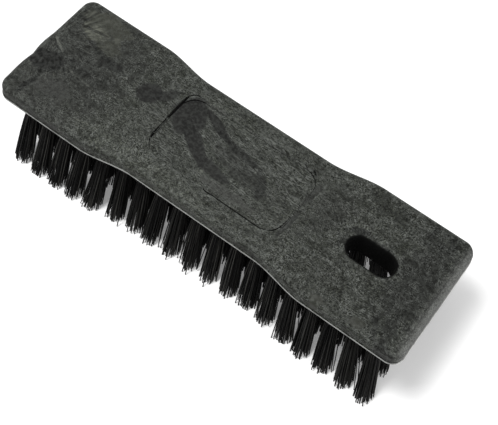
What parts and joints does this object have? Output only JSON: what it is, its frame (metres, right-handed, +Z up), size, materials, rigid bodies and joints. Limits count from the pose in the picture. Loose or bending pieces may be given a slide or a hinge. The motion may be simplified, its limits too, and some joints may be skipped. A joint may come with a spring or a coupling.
{
  "type": "scrub brush",
  "caption": "Hand scrub brush: a waisted moulded block with a recessed top panel and a hang slot, and leaning tufts of stiff bristles below.",
  "frame": {"origin": "on the plane that the bristle tips stand on, under the middle of the block's outline", "axes": "+X along the block towards the end with the hang slot, +Y across it, +Z up out of its flat top"},
  "size_m": [0.216, 0.0742, 0.05],
  "materials": {
    "block_plastic": "moulded structural foam, dark grey, faintly swirled, with a low sheen",
    "bristle_filament": "stiff black synthetic filament"
  },
  "bodies": {
    "root": {"block": "block_plastic", "tuft_strip_01": "bristle_filament", "tuft_strip_02": "bristle_filament", "tuft_strip_03": "bristle_filament", "tuft_strip_04": "bristle_filament", "tuft_strip_05": "bristle_filament", "tuft_strip_06": "bristle_filament", "tuft_strip_07": "bristle_filament", "tuft_strip_08": "bristle_filament", "tuft_strip_09": "bristle_filament", "tuft_strip_10": "bristle_filament", "tuft_strip_11": "bristle_filament", "tuft_strip_12": "bristle_filament", "tuft_strip_13": "bristle_filament", "tuft_strip_14": "bristle_filament", "tuft_strip_15": "bristle_filament", "tuft_strip_16_far": "bristle_filament", "tuft_strip_16_near": "bristle_filament", "tuft_strip_17_far": "bristle_filament", "tuft_strip_17_near": "bristle_filament", "tuft_strip_18_far": "bristle_filament", "tuft_strip_18_near": "bristle_filament", "tuft_strip_19": "bristle_filament"}
  },
  "joints": []
}
